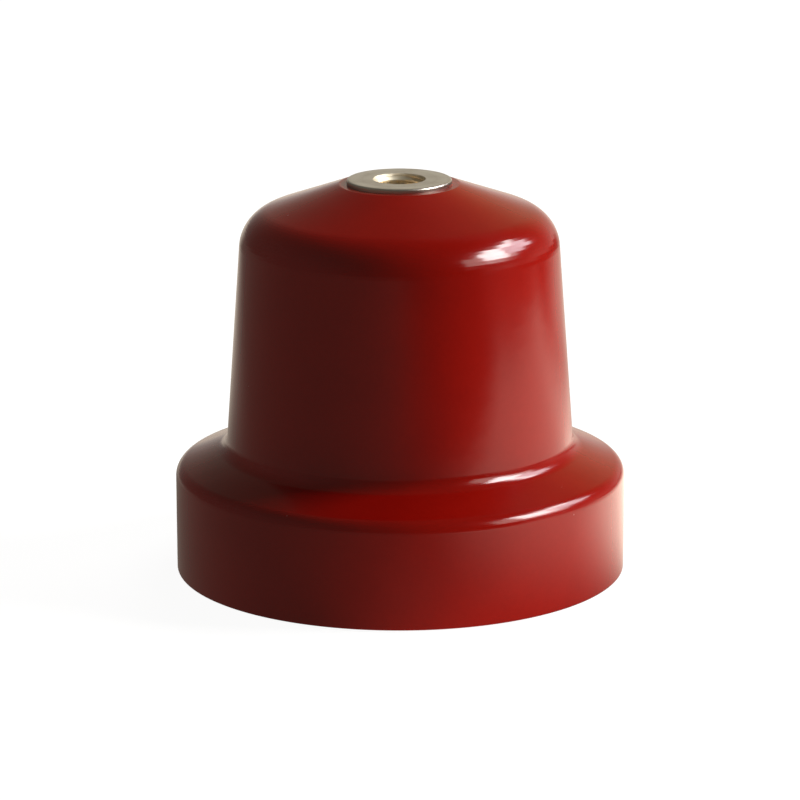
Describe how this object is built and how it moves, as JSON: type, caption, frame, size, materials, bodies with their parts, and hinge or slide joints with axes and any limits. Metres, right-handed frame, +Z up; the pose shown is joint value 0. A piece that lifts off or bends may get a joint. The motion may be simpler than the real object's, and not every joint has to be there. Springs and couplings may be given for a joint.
{
  "type": "standoff insulator",
  "caption": "Bell-shaped moulded resin standoff insulator on a round flange, with a threaded metal insert in its crown and threaded inserts in its seating face.",
  "frame": {"origin": "centre of the round seating face, on the bell's axis", "axes": "+Z up the bell's axis to the crown insert; +X and +Y lie midway between base inserts, in the seating face"},
  "size_m": [0.108, 0.108, 0.095],
  "materials": {
    "red_resin": "gloss",
    "nickel_plated_brass": "satin",
    "ring_steel": "satin"
  },
  "bodies": {
    "root": {"bell_body": "red_resin", "top_insert": "nickel_plated_brass", "base_insert_1": "nickel_plated_brass", "base_insert_2": "nickel_plated_brass", "base_insert_3": "nickel_plated_brass", "base_insert_4": "nickel_plated_brass", "carrier_ring": "ring_steel"}
  },
  "joints": []
}
